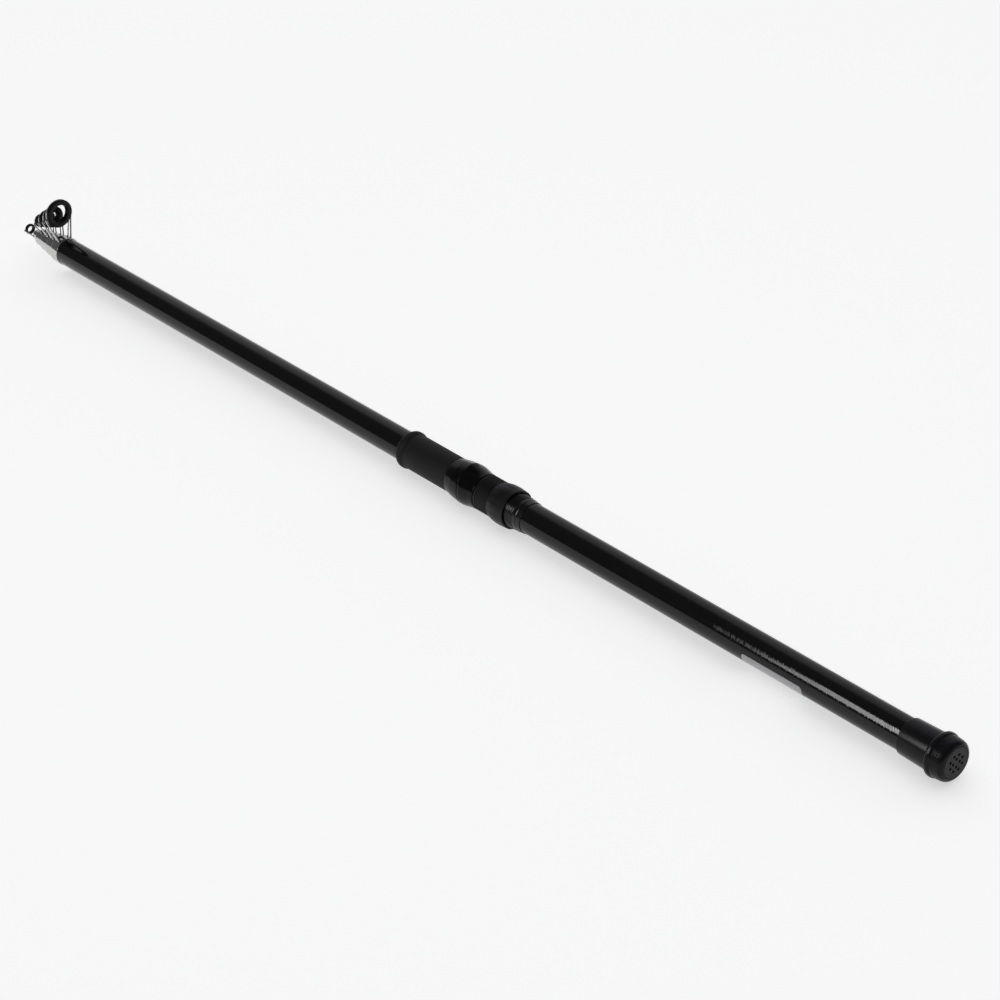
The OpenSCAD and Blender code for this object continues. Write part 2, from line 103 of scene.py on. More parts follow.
# Finishes: colour, roughness, change of tone, change of gloss, scale of patches, scale of grain,
# relief, metal, specular level.
FINISHES = {
    "blank_lacquer": ("lacquer", 0.1, 0.3, 0.05, 30, 260, 0.012, 0.0, 0.28),
    "hood_plastic": ("hood", 0.17, 0.2, 0.05, 80, 500, 0.01, 0.0, 0.18),
    "grip_rubber": ("grip", 0.66, 0.35, 0.12, 120, 2600, 0.28, 0.0, 0.3),
    "cap_rubber": ("cap", 0.24, 0.3, 0.08, 90, 1800, 0.03, 0.0, 0.15),
    "nut_plastic": ("nut", 0.46, 0.3, 0.12, 110, 2200, 0.14, 0.0, 0.24),
    "dark_plastic": ("hood", 0.24, 0.25, 0.1, 110, 1500, 0.04, 0.0, 0.4),
    "plug_plastic": ("plug", 0.6, 0.45, 0.12, 160, 1600, 0.3, 0.0, 0.3),
    "soft_black": ("ring", 0.7, 0.4, 0.12, 180, 2200, 0.2, 0.0, 0.3),
    "guide_metal": ("metal", 0.13, 0.3, 0.1, 140, 1400, 0.03, 1.0, 0.5),
    "rim_metal": ("rim", 0.3, 0.3, 0.1, 140, 1400, 0.03, 1.0, 0.5),
    "ring_glaze": ("ring", 0.34, 0.3, 0.12, 200, 2400, 0.06, 0.0, 0.17),
    "label_film": ("label", 0.22, 0.05, 0.08, 60, 1500, 0.03, 0.0, 0.8),
    "silver_print": ("silver", 0.4, 0.5, 0.1, 420, 2500, 0.05, 0.0, 0.5),
}
PRINT_BEYOND_HIGHLIGHT = (0.012, 0.012, 0.011, 1)  # painted shade: dark colour of the silver print away from its painted highlight
HIGHLIGHT_FALLOFF = 2.1  # how fast the painted highlight on the print falls off along the row

FLOOR_SIZE = 90
FLOOR_DROP = 0.0002  # below the lowest point of the rod
FLOOR_GLOW = 0.58
FAR_SIDE = (0.6, -0.8, 0.0)
ROOM_DIM, ROOM_BRIGHT = 0.12, 0.6

# Lamps: place, point that it faces, size, power, rays that don't see it.
LAMPS = (
    ("overhead_lamp", (0.55, 0.1, 3.2), (0.5, 0, 0), (4.2, 4.2), 28, ("glossy",)),
    ("side_lamp", (0.442, 0.597, 0.324), (0.02, 0, 0), (0.2, 0.3), 1.8, ("camera", "diffuse")),
)


class RodSizes(bpy.types.PropertyGroup):
    """Sizes of the details that the solids leave plain."""

    thread_pitch: bpy.props.FloatProperty(
        name="Thread pitch", description="Pitch of the reel seat thread",
        default=0.002, unit="LENGTH")
    thread_height: bpy.props.FloatProperty(
        name="Thread height", description="Height of the reel seat thread",
        default=0.00046, unit="LENGTH")
    flute_count: bpy.props.IntProperty(
        name="Flutes", description="Grip flutes round the lock nut", default=12)
    flute_depth: bpy.props.FloatProperty(
        name="Flute depth", description="Depth of a grip flute", default=0.00018, unit="LENGTH")
    cap_ribs: bpy.props.IntProperty(
        name="Cap ribs", description="Ribs round the collar of the butt cap", default=4)
    rib_pitch: bpy.props.FloatProperty(
        name="Rib pitch", description="Distance between two of these ribs",
        default=0.0018, unit="LENGTH")
    sleeve_length: bpy.props.FloatProperty(
        name="Guide sleeve", description="Length of one guide sleeve",
        default=0.0096, unit="LENGTH")
    wire: bpy.props.FloatProperty(
        name="Guide wire", description="Diameter of the wire of the largest guide",
        default=0.0015, unit="LENGTH")
    bend: bpy.props.FloatProperty(
        name="Wire bend", description="Radius of the bend in a guide leg",
        default=0.0011, unit="LENGTH")
    label_start: bpy.props.FloatProperty(
        name="Label place", description="Distance of the blank label from the butt face",
        default=0.1324, unit="LENGTH")
    label_length: bpy.props.FloatProperty(
        name="Label length", description="Length of the blank label along the handle",
        default=0.0588, unit="LENGTH")
    label_edge: bpy.props.FloatProperty(
        name="Label edge", description="Angle of its upper edge from the top of the handle",
        default=math.radians(91), subtype="ANGLE")
    label_angle: bpy.props.FloatProperty(
        name="Label width", description="Angle that it covers round the handle",
        default=math.radians(72), subtype="ANGLE")
    row_start: bpy.props.FloatProperty(
        name="Row start", description="Distance of the row of silver marks from the butt face",
        default=0.0445, unit="LENGTH")
    row_length: bpy.props.FloatProperty(
        name="Row length", description="Length of the row of silver marks",
        default=0.178, unit="LENGTH")
    mark_count: bpy.props.IntProperty(
        name="Marks", description="Places for silver marks in the row", default=190)


class RodColours(bpy.types.PropertyGroup):
    """Base colours of the finishes."""

    lacquer: bpy.props.FloatVectorProperty(
        name="Lacquer", description="Black lacquer of the tubes",
        subtype="COLOR", default=(0.008, 0.008, 0.0084))
    hood: bpy.props.FloatVectorProperty(
        name="Hoods", description="Gloss plastic of the hoods",
        subtype="COLOR", default=(0.0035, 0.0035, 0.0038))
    grip: bpy.props.FloatVectorProperty(
        name="Foregrip", description="Matte rubber of the foregrip",
        subtype="COLOR", default=(0.0095, 0.0095, 0.01))
    cap: bpy.props.FloatVectorProperty(
        name="Butt cap", description="Satin rubber of the butt cap",
        subtype="COLOR", default=(0.013, 0.013, 0.0152))
    nut: bpy.props.FloatVectorProperty(
        name="Lock nut", description="Satin plastic of the lock nut",
        subtype="COLOR", default=(0.007, 0.007, 0.0088))
    plug: bpy.props.FloatVectorProperty(
        name="Butt plug", description="Warm grey plastic of the plug face",
        subtype="COLOR", default=(0.036, 0.038, 0.034))
    metal: bpy.props.FloatVectorProperty(
        name="Guide metal", description="Polished metal of sleeves and wires",
        subtype="COLOR", default=(0.56, 0.56, 0.55))
    rim: bpy.props.FloatVectorProperty(
        name="Mouth rim", description="Satin metal of the ring at the mouth of the handle",
        subtype="COLOR", default=(0.16, 0.16, 0.16))
    ring: bpy.props.FloatVectorProperty(
        name="Line rings", description="Black glaze of the line rings",
        subtype="COLOR", default=(0.003, 0.003, 0.0035))
    label: bpy.props.FloatVectorProperty(
        name="Label", description="White film of the blank label",
        subtype="COLOR", default=(0.92, 0.92, 0.94))
    silver: bpy.props.FloatVectorProperty(
        name="Marks", description="Silver print of the marks",
        subtype="COLOR", default=(0.92, 0.92, 0.92))


class RodStage(bpy.types.PropertyGroup):
    """Camera and floor."""

    azimuth: bpy.props.FloatProperty(
        name="Azimuth", description="Direction of the camera round the rod",
        default=math.radians(228.77), subtype="ANGLE")
    elevation: bpy.props.FloatProperty(
        name="Elevation", description="Height of the camera above the horizon",
        default=math.radians(30.29), subtype="ANGLE")
    distance: bpy.props.FloatProperty(
        name="Distance", description="From the camera to the point it looks at",
        default=2.5063, unit="LENGTH")
    aim: bpy.props.FloatProperty(
        name="Aim", description="Distance of that point from the butt face",
        default=0.4629, unit="LENGTH")
    aim_height: bpy.props.FloatProperty(
        name="Aim height", description="Height of that point above the axis of the rod",
        default=0.0004, unit="LENGTH")
    lens: bpy.props.FloatProperty(
        name="Lens", description="Focal length in millimetres", default=118.8)
    floor: bpy.props.FloatVectorProperty(
        name="Floor", description="Colour of the floor",
        subtype="COLOR", default=(0.93, 0.93, 0.93))


@lru_cache(maxsize=None)
def span(node):
    """Start and end along the rod, and the half width across it, of a solid of the frame."""
    low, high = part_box(node)
    return low.x, high.x, (high.y - low.y) / 2


def fillet(points, steps=6):
    """Outline of (distance, radius) from corners (distance, radius, rounding)."""
    most = 0.48  # share of a side that a rounding may take
    outline = []
    count = len(points)
    for i, (x, r, rounding) in enumerate(points):
        here = Vector((x, r))
        if rounding <= 0:
            outline.append((x, r))
            continue
        before = Vector(points[i - 1][:2]) - here
        after = Vector(points[(i + 1) % count][:2]) - here
        reach = min(rounding, before.length * most, after.length * most)
        start = here + before.normalized() * reach
        end = here + after.normalized() * reach
        for s in range(steps + 1):
            t = s / steps
            p = start * (1 - t) ** 2 + here * 2 * t * (1 - t) + end * t ** 2
            outline.append((p.x, p.y))
    return outline


def smooth(name, bm):
    """Object from an edited mesh, smooth but for its sharp edges."""
    mesh = bpy.data.meshes.new(name)
    bm.to_mesh(mesh)
    bm.free()
    mesh.shade_smooth()
    mesh.set_sharp_from_angle(angle=SHARP_ANGLE)
    obj = bpy.data.objects.new(name, mesh)
    bpy.context.scene.collection.objects.link(obj)
    return obj


def skin(name, rows, closed=True):
    """Skin over loops of points; the last loop meets the first, or both ends are capped."""
    bm = bmesh.new()
    loops = [[bm.verts.new(p) for p in row] for row in rows]
    pairs = list(zip(loops, loops[1:]))
    if closed:
        pairs.append((loops[-1], loops[0]))
    else:
        bm.faces.new(loops[0])
        bm.faces.new(loops[-1])
    for a, b in pairs:
        n = len(a)
        for i in range(n):
            j = (i + 1) % n
            bm.faces.new((a[i], a[j], b[j], b[i]))
    bmesh.ops.recalc_face_normals(bm, faces=bm.faces)
    return smooth(name, bm)


def ring_row(x, radius, z=0.0, segments=SEGMENTS):
    """One loop round the rod; radius is a number or a function of the angle from the top."""
    row = []
    for i in range(segments):
        a = 2 * math.pi * i / segments
        r = radius(a) if callable(radius) else radius
        row.append((x, r * math.sin(a), z + r * math.cos(a)))
    return row


def turned(name, corners, z=0.0, closed=True, segments=SEGMENTS):
    """Turned piece from the corners of its outline."""
    outline = fillet(corners)
    return skin(name, [ring_row(x, r, z, segments) for x, r in outline], closed)


def join(name, objects):
    """One object from the meshes of several, which are removed."""
    bm = bmesh.new()
    for o in objects:
        bm.from_mesh(o.data)
    for o in objects:
        old = o.data
        bpy.data.objects.remove(o)
        bpy.data.meshes.remove(old)
    return smooth(name, bm)


def place(obj, coat, body, slot, *nodes):
    """Finish, motion and replaced solids of a piece."""
    obj.data.materials.clear()
    obj.data.materials.append(finish(coat))
    for face in obj.data.polygons:
        face.material_index = 0
    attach(obj, body)
    if nodes:
        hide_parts(*nodes)


def dress(node, coat):
    """Finish of a solid of the frame that is shown as it is."""
    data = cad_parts[node].data
    data.materials.clear()
    data.materials.append(finish(coat))


def socket(group, name, kind, direction, default=None):
    """Named socket of a node group."""
    s = group.interface.new_socket(name=name, in_out=direction, socket_type=kind)
    if default is not None:
        s.default_value = default


def feed(group, node, *feeds):
    """Fills a node's sockets from (socket, source) pairs, a source being a socket or a value."""
    for where, source in feeds:
        if isinstance(source, bpy.types.NodeSocket):
            group.links.new(source, node.inputs[where])
        else:
            node.inputs[where].default_value = source


def add_node(group, kind, *feeds, **settings):
    """Outputs of a new node."""
    node = group.nodes.new(kind)
    for key, value in settings.items():
        setattr(node, key, value)
    feed(group, node, *feeds)
    return node.outputs


class Tree:
    """Geometry node tree with named inputs that ends in real faces with a material."""

    def __init__(self, name, inputs):
        self.group = bpy.data.node_groups.new(name, "GeometryNodeTree")
        socket(self.group, "Geometry", "NodeSocketGeometry", "INPUT")
        for label, kind, default in inputs:
            socket(self.group, label, "NodeSocket" + kind, "INPUT", default)
        socket(self.group, "Material", "NodeSocketMaterial", "INPUT")
        socket(self.group, "Geometry", "NodeSocketGeometry", "OUTPUT")
        self.given = self.group.nodes.new("NodeGroupInput").outputs

    def add(self, kind, *feeds, **settings):
        """Outputs of a new node of this tree."""
        return add_node(self.group, kind, *feeds, **settings)

    def math(self, operation, a, b=0.0, c=0.0):
        """Result of a math node."""
        return self.add("ShaderNodeMath", (0, a), (1, b), (2, c), operation=operation)[0]

    def vector(self, x, y=0.0, z=0.0):
        """Vector from its three numbers."""
        return self.add("ShaderNodeCombineXYZ", (0, x), (1, y), (2, z))[0]

    def end(self, geometry):
        """The finished tree."""
        real = self.add("GeometryNodeRealizeInstances", (0, geometry))[0]
        done = self.add("GeometryNodeSetMaterial", (0, real), ("Material", self.given["Material"]))
        self.add("NodeGroupOutput", (0, done[0]))
        return self.group


def tree(name, build):
    """The named tree, built on first use."""
    return bpy.data.node_groups.get(name) or build(name)


def grown(name, group, material, seed=None, **values):
    """Plain mesh from a node tree; seed is its first mesh, and values fill its named inputs."""
    seed = seed or bpy.data.meshes.new(name + "_seed")
    obj = bpy.data.objects.new(name, seed)
    bpy.context.scene.collection.objects.link(obj)
    growth = obj.modifiers.new("growth", "NODES")
    growth.node_group = group
    values["Material"] = material
    for item in group.interface.items_tree:
        if item.in_out == "INPUT" and item.name in values:
            growth[item.identifier] = values[item.name]
    seen = bpy.context.evaluated_depsgraph_get()
    mesh = bpy.data.meshes.new_from_object(obj.evaluated_get(seen), depsgraph=seen)
    bm = bmesh.new()
    bm.from_mesh(mesh)
    bmesh.ops.remove_doubles(bm, verts=bm.verts, dist=WELD)
    bmesh.ops.recalc_face_normals(bm, faces=bm.faces)
    bpy.data.objects.remove(obj)
    bpy.data.meshes.remove(seed)
    bpy.data.meshes.remove(mesh)
    return smooth(name, bm)


def thread_tree(name):
    """Screw thread: a ridge swept along a helix about X."""
    foot, crest = 0.62, 0.2  # widths of the ridge as shares of the pitch
    t = Tree(name, [("Pitch", "Float", 0.002), ("Turns", "Float", 20.0), ("Radius", "Float", 0.013),
                    ("Height", "Float", 0.0004), ("Start", "Float", 0.0)])
    g = t.given
    helix = t.add("GeometryNodeCurveSpiral", ("Resolution", 72), ("Rotations", g["Turns"]),
                  ("Start Radius", g["Radius"]), ("End Radius", g["Radius"]),
                  ("Height", t.math("MULTIPLY", g["Pitch"], g["Turns"])))[0]
    upright = t.add("GeometryNodeSetCurveNormal", (0, helix), mode="Z_UP")[0]
    profile = t.add("GeometryNodeCurvePrimitiveQuadrilateral",
                    ("Bottom Width", t.math("MULTIPLY", g["Pitch"], foot)),
                    ("Top Width", t.math("MULTIPLY", g["Pitch"], crest)),
                    ("Height", t.math("MULTIPLY", g["Height"], 2.0)), ("Offset", 0.0),
                    mode="TRAPEZOID")[0]
    ridge = t.add("GeometryNodeCurveToMesh", ("Curve", upright), ("Profile Curve", profile),
                  ("Fill Caps", True))[0]
    return t.end(t.add("GeometryNodeTransform", (0, ridge),
                       ("Translation", t.vector(g["Start"])), ("Rotation", ABOUT_X))[0])


def rib_tree(name):
    """Row of round ribs about X."""
    t = Tree(name, [("Count", "Int", 4), ("Pitch", "Float", 0.002), ("Radius", "Float", 0.016),
                    ("Rise", "Float", 0.0), ("Thickness", "Float", 0.001), ("Start", "Float", 0.0)])
    g = t.given
    row = t.add("GeometryNodeMeshLine", ("Count", g["Count"]),
                ("Start Location", t.vector(g["Start"])), ("Offset", t.vector(g["Pitch"])))[0]
    loop = t.add("GeometryNodeCurvePrimitiveCircle", ("Resolution", SEGMENTS),
                 ("Radius", g["Radius"]))[0]
    cross = t.add("GeometryNodeCurvePrimitiveCircle", ("Resolution", 14),
                  ("Radius", t.math("MULTIPLY", g["Thickness"], 0.5)))[0]
    rib = t.add("GeometryNodeCurveToMesh", ("Curve", loop), ("Profile Curve", cross))[0]
    faced = t.add("GeometryNodeTransform", (0, rib), ("Rotation", ABOUT_X))[0]
    grow = t.math("MULTIPLY_ADD", t.add("GeometryNodeInputIndex")[0], g["Rise"], 1.0)
    return t.end(t.add("GeometryNodeInstanceOnPoints", ("Points", row), ("Instance", faced),
                       ("Scale", t.vector(1.0, grow, grow)))[0])


def wire_tree(name):
    """Round wire along the seed mesh's edges, bent at corners and thicker at its soldered start."""
    t = Tree(name, [("Radius", "Float", 0.0007), ("Bend", "Float", 0.001),
                    ("Solder", "Float", 0.4)])
    g = t.given
    path = t.add("GeometryNodeMeshToCurve", (0, g["Geometry"]))[0]
    bent = t.add("GeometryNodeFilletCurve", (0, path), ("Count", 7), ("Radius", g["Bend"]),
                 ("Limit Radius", True), mode="POLY")[0]
    fine = t.add("GeometryNodeSubdivideCurve", (0, bent), ("Cuts", 5))[0]
    along = t.add("GeometryNodeSplineParameter")["Factor"]
    foot = t.math("POWER", t.math("SUBTRACT", 1.0, along), 9.0)
    thick = t.math("MULTIPLY", g["Radius"], t.math("MULTIPLY_ADD", foot, g["Solder"], 1.0))
    sized = t.add("GeometryNodeSetCurveRadius", (0, fine), ("Radius", thick))[0]
    cross = t.add("GeometryNodeCurvePrimitiveCircle", ("Resolution", 20), ("Radius", 1.0))[0]
    radius = t.add("GeometryNodeInputRadius")[0]
    return t.end(t.add("GeometryNodeCurveToMesh", ("Curve", sized), ("Profile Curve", cross),
                       ("Scale", radius), ("Fill Caps", True))[0])


def mark_tree(name):
    """Row of printed marks along X, of varied width, with gaps where chance leaves one out."""
    thin, broad = 0.55, 1.3  # range of the width
    t = Tree(name, [("Count", "Int", 100), ("Length", "Float", 0.18), ("Start", "Float", 0.045),
                    ("Taper", "Float", 0.0), ("Share", "Float", 0.8), ("Seed", "Int", 7)])
    g = t.given
    step = t.math("DIVIDE", g["Length"], g["Count"])
    row = t.add("GeometryNodeMeshLine", ("Count", g["Count"]),
                ("Start Location", t.vector(g["Start"])), ("Offset", t.vector(step)))[0]
    kept = t.add("FunctionNodeRandomValue", ("Probability", g["Share"]), ("Seed", g["Seed"]),
                 data_type="BOOLEAN")[3]
    width = t.add("FunctionNodeRandomValue", (2, thin), (3, broad), ("Seed", g["Seed"]),
                  data_type="FLOAT")[1]
    x = t.add("ShaderNodeSeparateXYZ", (0, t.add("GeometryNodeInputPosition")[0]))[0]
    narrow = t.math("MULTIPLY_ADD", x, g["Taper"], 1.0)
    return t.end(t.add("GeometryNodeInstanceOnPoints", ("Points", row), ("Selection", kept),
                       ("Instance", g["Geometry"]), ("Scale", t.vector(width, narrow, narrow)))[0])


def speckle_group():
    """Node group: tone, gloss and fine relief that vary over a moulded or lacquered surface."""
    name = "rod_surface_variation"
    if name in bpy.data.node_groups:
        return bpy.data.node_groups[name]
    g = bpy.data.node_groups.new(name, "ShaderNodeTree")
    socket(g, "Base", "NodeSocketColor", "INPUT", (0.01, 0.01, 0.01, 1))
    for label, default in (("Tone change", 0.2), ("Roughness", 0.3), ("Gloss change", 0.08),
                           ("Scale", 60.0), ("Grain scale", 900.0)):
        socket(g, label, "NodeSocketFloat", "INPUT", default)
    socket(g, "Colour", "NodeSocketColor", "OUTPUT")
    for label in ("Gloss", "Height"):
        socket(g, label, "NodeSocketFloat", "OUTPUT")
    given = g.nodes.new("NodeGroupInput").outputs
    spot = add_node(g, "ShaderNodeTexCoord")["Object"]
    patches = add_node(g, "ShaderNodeTexNoise", ("Vector", spot), ("Scale", given["Scale"]),
                       ("Detail", 4))["Fac"]
    grain = add_node(g, "ShaderNodeTexNoise", ("Vector", spot), ("Scale", given["Grain scale"]),
                     ("Detail", 3))["Fac"]
    centred = add_node(g, "ShaderNodeMath", (0, patches), (1, 0.5), operation="SUBTRACT")[0]
    tone = add_node(g, "ShaderNodeMath", (0, centred), (1, given["Tone change"]), (2, 1.0),
                    operation="MULTIPLY_ADD")[0]
    colour = add_node(g, "ShaderNodeVectorMath", (0, given["Base"]), ("Scale", tone),
                      operation="SCALE")[0]
    gloss = add_node(g, "ShaderNodeMath", (0, centred), (1, given["Gloss change"]),
                     (2, given["Roughness"]), operation="MULTIPLY_ADD")[0]
    add_node(g, "NodeGroupOutput", ("Colour", colour), ("Gloss", gloss), ("Height", grain))
    return g


def finish(name):
    """Material of one finish, from the shared surface variation."""
    label = "rod_" + name
    if label in bpy.data.materials:
        return bpy.data.materials[label]
    colour, roughness, tone, gloss, scale, grain, relief, metal, specular = FINISHES[name]
    base = (*getattr(bpy.context.scene.rod_colours, colour), 1)
    m = bpy.data.materials.new(label)
    m.use_nodes = True
    t = m.node_tree
    vary = add_node(
        t, "ShaderNodeGroup", ("Base", base), ("Tone change", tone), ("Roughness", roughness),
        ("Gloss change", gloss), ("Scale", scale), ("Grain scale", grain),
        node_tree=speckle_group())
    bump = add_node(t, "ShaderNodeBump", ("Strength", relief), ("Distance", RELIEF),
                    ("Height", vary["Height"]))
    feed(t, t.nodes["Principled BSDF"], ("Base Color", vary["Colour"]),
         ("Roughness", vary["Gloss"]), ("Normal", bump["Normal"]), ("Metallic", metal),
         ("Specular IOR Level", specular))
    return m


def silver_print():
    """Silver print with a painted highlight: its colour is bright near the butt and darkens toward
    the seat as painted shade.
    """
    if "rod_silver_print" in bpy.data.materials:
        return bpy.data.materials["rod_silver_print"]
    m = finish("silver_print")
    t = m.node_tree
    s = bpy.context.scene.rod_sizes
    spot = add_node(t, "ShaderNodeTexCoord")["Object"]
    x = add_node(t, "ShaderNodeSeparateXYZ", (0, spot))["X"]
    # painted highlight: share of the bright print colour, falling off from the butt toward the seat
    left = add_node(t, "ShaderNodeMapRange", ("Value", x), ("From Min", s.row_start),
                    ("From Max", s.row_start + s.row_length), ("To Min", 1.0),
                    ("To Max", 0.0))["Result"]
    bright = add_node(t, "ShaderNodeMath", (0, left), (1, HIGHLIGHT_FALLOFF), operation="POWER")[0]
    vary = next(n for n in t.nodes if n.type == "GROUP").outputs
    mixed = add_node(t, "ShaderNodeMix", (0, bright), (6, PRINT_BEYOND_HIGHLIGHT), (7, vary["Colour"]),
                     data_type="RGBA")[2]
    feed(t, t.nodes["Principled BSDF"], ("Base Color", mixed))
    return m


class ROD_OT_stage(bpy.types.Operator):
    """Camera at the photographed angle, pale floor and soft lamps"""

    bl_idname = "rod.stage"
    bl_label = "Stage"

    def execute(self, context):
        scene = context.scene
        s = scene.rod_stage
        flat = math.cos(s.elevation)
        towards = Vector((math.sin(s.azimuth) * flat, -math.cos(s.azimuth) * flat,
                          math.sin(s.elevation)))
        data = bpy.data.cameras.new("camera")
        data.lens = s.lens
        data.sensor_width = 36
        data.sensor_fit = "HORIZONTAL"
        data.clip_end = 200
        camera = bpy.data.objects.new("camera", data)
        camera.location = Vector((s.aim, 0, s.aim_height)) + towards * s.distance
        camera.rotation_euler = (-towards).to_track_quat("-Z", "Y").to_euler()
        scene.collection.objects.link(camera)
        scene.camera = camera
        scene.view_settings.view_transform = "Standard"
        self.floor(s)
        self.world(scene)
        for lamp in LAMPS:
            self.lamp(scene, *lamp)
        return {"FINISHED"}

    def floor(self, s):
        """Pale paper with a glow that is seen, also in the gloss, and doesn't light the rod."""
        bpy.ops.mesh.primitive_plane_add(
            size=FLOOR_SIZE, location=(0.5, 0, CAD_BOX[0].z - FLOOR_DROP))
        floor = bpy.context.object
        floor.name = "floor"
        m = bpy.data.materials.new("floor_paper")
        m.use_nodes = True
        t = m.node_tree
        noise = add_node(t, "ShaderNodeTexNoise", ("Scale", 2.0))["Fac"]
        rough = add_node(t, "ShaderNodeMapRange", ("Value", noise), ("To Min", 0.78),
                         ("To Max", 0.84))["Result"]
        rays = add_node(t, "ShaderNodeLightPath")
        seen = rays["Is Camera Ray"]
        for kind in ("Is Glossy Ray", "Is Transmission Ray"):
            seen = add_node(t, "ShaderNodeMath", (0, seen), (1, rays[kind]),
                            operation="MAXIMUM")[0]
        glow = add_node(t, "ShaderNodeMath", (0, seen), (1, FLOOR_GLOW), operation="MULTIPLY")[0]
        feed(t, t.nodes["Principled BSDF"], ("Base Color", (*s.floor, 1)), ("Roughness", rough),
             ("Specular IOR Level", 0.0), ("Emission Color", (1, 1, 1, 1)),
             ("Emission Strength", glow))
        floor.data.materials.append(m)

    def world(self, scene):
        """Dim room with a soft glow on the far side."""
        world = bpy.data.worlds.new("studio")
        scene.world = world
        world.use_nodes = True
        t = world.node_tree
        ray = add_node(t, "ShaderNodeTexCoord")["Generated"]
        facing = add_node(t, "ShaderNodeVectorMath", (0, ray), (1, FAR_SIDE),
                          operation="DOT_PRODUCT")["Value"]
        glow = add_node(t, "ShaderNodeMapRange", ("Value", facing), ("From Min", 0.36),
                        ("From Max", 0.64), ("To Min", ROOM_DIM), ("To Max", ROOM_BRIGHT),
                        interpolation_type="SMOOTHSTEP")["Result"]
        feed(t, t.nodes["Background"], ("Strength", glow), ("Color", (0.97, 0.98, 1, 1)))

    def lamp(self, scene, name, spot, target, size, power, unseen_by):
        """Soft rectangular lamp."""
        data = bpy.data.lights.new(name, "AREA")
        data.shape = "RECTANGLE"
        data.size, data.size_y = size
        data.energy = power
        lamp = bpy.data.objects.new(name, data)
        lamp.location = spot
        towards = Vector(target) - Vector(spot)
        lamp.rotation_euler = towards.to_track_quat("-Z", "Y").to_euler()
        for ray in unseen_by:
            setattr(lamp, "visible_" + ray, False)
        scene.collection.objects.link(lamp)


def handle_radius(x):
    """Outside radius of the handle tube."""
    x0, x1, r0 = span("handle_blank")
    r1 = span("mouth_ring")[2]
    return r0 + (r1 - r0) * (x - x0) / (x1 - x0)


class ROD_OT_handle(bpy.types.Operator):
    """Lacquered handle tube and the ring at its mouth"""

    bl_idname = "rod.handle"
    bl_label = "Handle"

    def execute(self, context):
        wall = HANDLE_WALL
        x0, x1, _ = span("handle_blank")
        blank = turned("handle_tube", [
            (x0, handle_radius(x0) - wall, 0), (x0, handle_radius(x0), 0.2 * MM),
            (x1, handle_radius(x1), 0.05 * MM), (x1, handle_radius(x1) - wall, 0)])
        place(blank, "blank_lacquer", "handle", "blank_black", "handle_blank")
        m0, m1, r = span("mouth_ring")
        edge = m1 - 0.7 * MM
        collar = turned("mouth_collar", [
            (m0, r - wall, 0), (m0, r, 0.05 * MM), (edge, r, 0.05 * MM), (edge, r - wall, 0)])
        place(collar, "blank_lacquer", "handle", "blank_black", "mouth_ring")
        rim = turned("mouth_rim", [
            (edge, r - wall, 0), (edge, r, 0), (m1, r - 0.1 * MM, 0.5 * MM),
            (m1, r - wall, 0.1 * MM)])
        place(rim, "rim_metal", "handle", "trim_metal", "mouth_ring")
        return {"FINISHED"}


class ROD_OT_print(bpy.types.Operator):
    """Blank label and the row of silver marks on the handle"""

    bl_idname = "rod.print"
    bl_label = "Label and marks"

    def execute(self, context):
        s = context.scene.rod_sizes
        label = skin("blank_label", self.label_rows(s), closed=False)
        place(label, "label_film", "handle", None)
        x1 = span("handle_blank")[1]
        r = handle_radius(0)
        taper = (handle_radius(x1) / r - 1) / x1
        group = tree("rod_marks", mark_tree)
        strokes = [
            grown("silver_strokes_%d" % seed, group, silver_print(), self.mark(r, low, high),
                  Count=s.mark_count, Length=s.row_length, Start=s.row_start, Taper=taper,
                  Share=share, Seed=seed)
            for low, high, share, seed in MARK_SETS]
        place(join("silver_marks", strokes), "silver_print", "handle", None)
        return {"FINISHED"}

    def label_rows(self, s):
        """Loops of the label from mid-face over its edge to the middle of its back."""
        half_x = s.label_length / 2
        radius = handle_radius(s.label_start + half_x)
        half_w = radius * s.label_angle / 2
        corner = 2.6 * MM
        film, shoulder, gap = 0.09, 0.06, 0.01
        outline = []
        for sx, sw, turn in ((1, 1, 0), (-1, 1, 90), (-1, -1, 180), (1, -1, 270)):
            for k in range(7):
                a = math.radians(turn + 15 * k)
                outline.append((sx * (half_x - corner) + corner * math.cos(a),
                                sw * (half_w - corner) + corner * math.sin(a)))
        outline = self.finer(outline)
        face = [(share, film) for share in (0.02, 0.25, 0.5, 0.75, 0.97)]
        back = [(share, 0.0) for share in (1.0, 0.75, 0.5, 0.25, 0.02)]
        rows = []
        for share, lift in face + [(1.0, shoulder)] + back:
            row = []
            for u, v in outline:
                x = s.label_start + half_x + u * share
                a = s.label_edge + (half_w + v * share) / radius
                r = handle_radius(x) + (lift + gap) * MM
                row.append((x, r * math.sin(a), r * math.cos(a)))
            rows.append(row)
        return rows

    def finer(self, outline, longest=0.0012):
        """Outline with its straight sides cut into short steps."""
        points = []
        for (ax, ay), (bx, by) in zip(outline, outline[1:] + outline[:1]):
            steps = max(1, math.ceil(math.hypot(bx - ax, by - ay) / longest))
            points += [(ax + (bx - ax) * k / steps, ay + (by - ay) * k / steps)
                       for k in range(steps)]
        return points

    def mark(self, radius, low, high):
        """One slanted printed stroke between two angles from the top of the handle, at X = 0."""
        half, slant, film = 0.24 * MM, 0.09 * MM, 0.03 * MM
        steps = 6
        rows = []
        for k in range(steps + 1):
            degrees = low + (high - low) * k / steps
            a = math.radians(degrees)
            shift = slant * (degrees - low)
            rows.append([(x - shift, r * math.sin(a), r * math.cos(a)) for x, r in (
                (-half, radius), (-half, radius + film), (half, radius + film), (half, radius))])
        stroke = skin("silver_mark", rows, closed=False)
        mesh = stroke.data
        bpy.data.objects.remove(stroke)
        return mesh


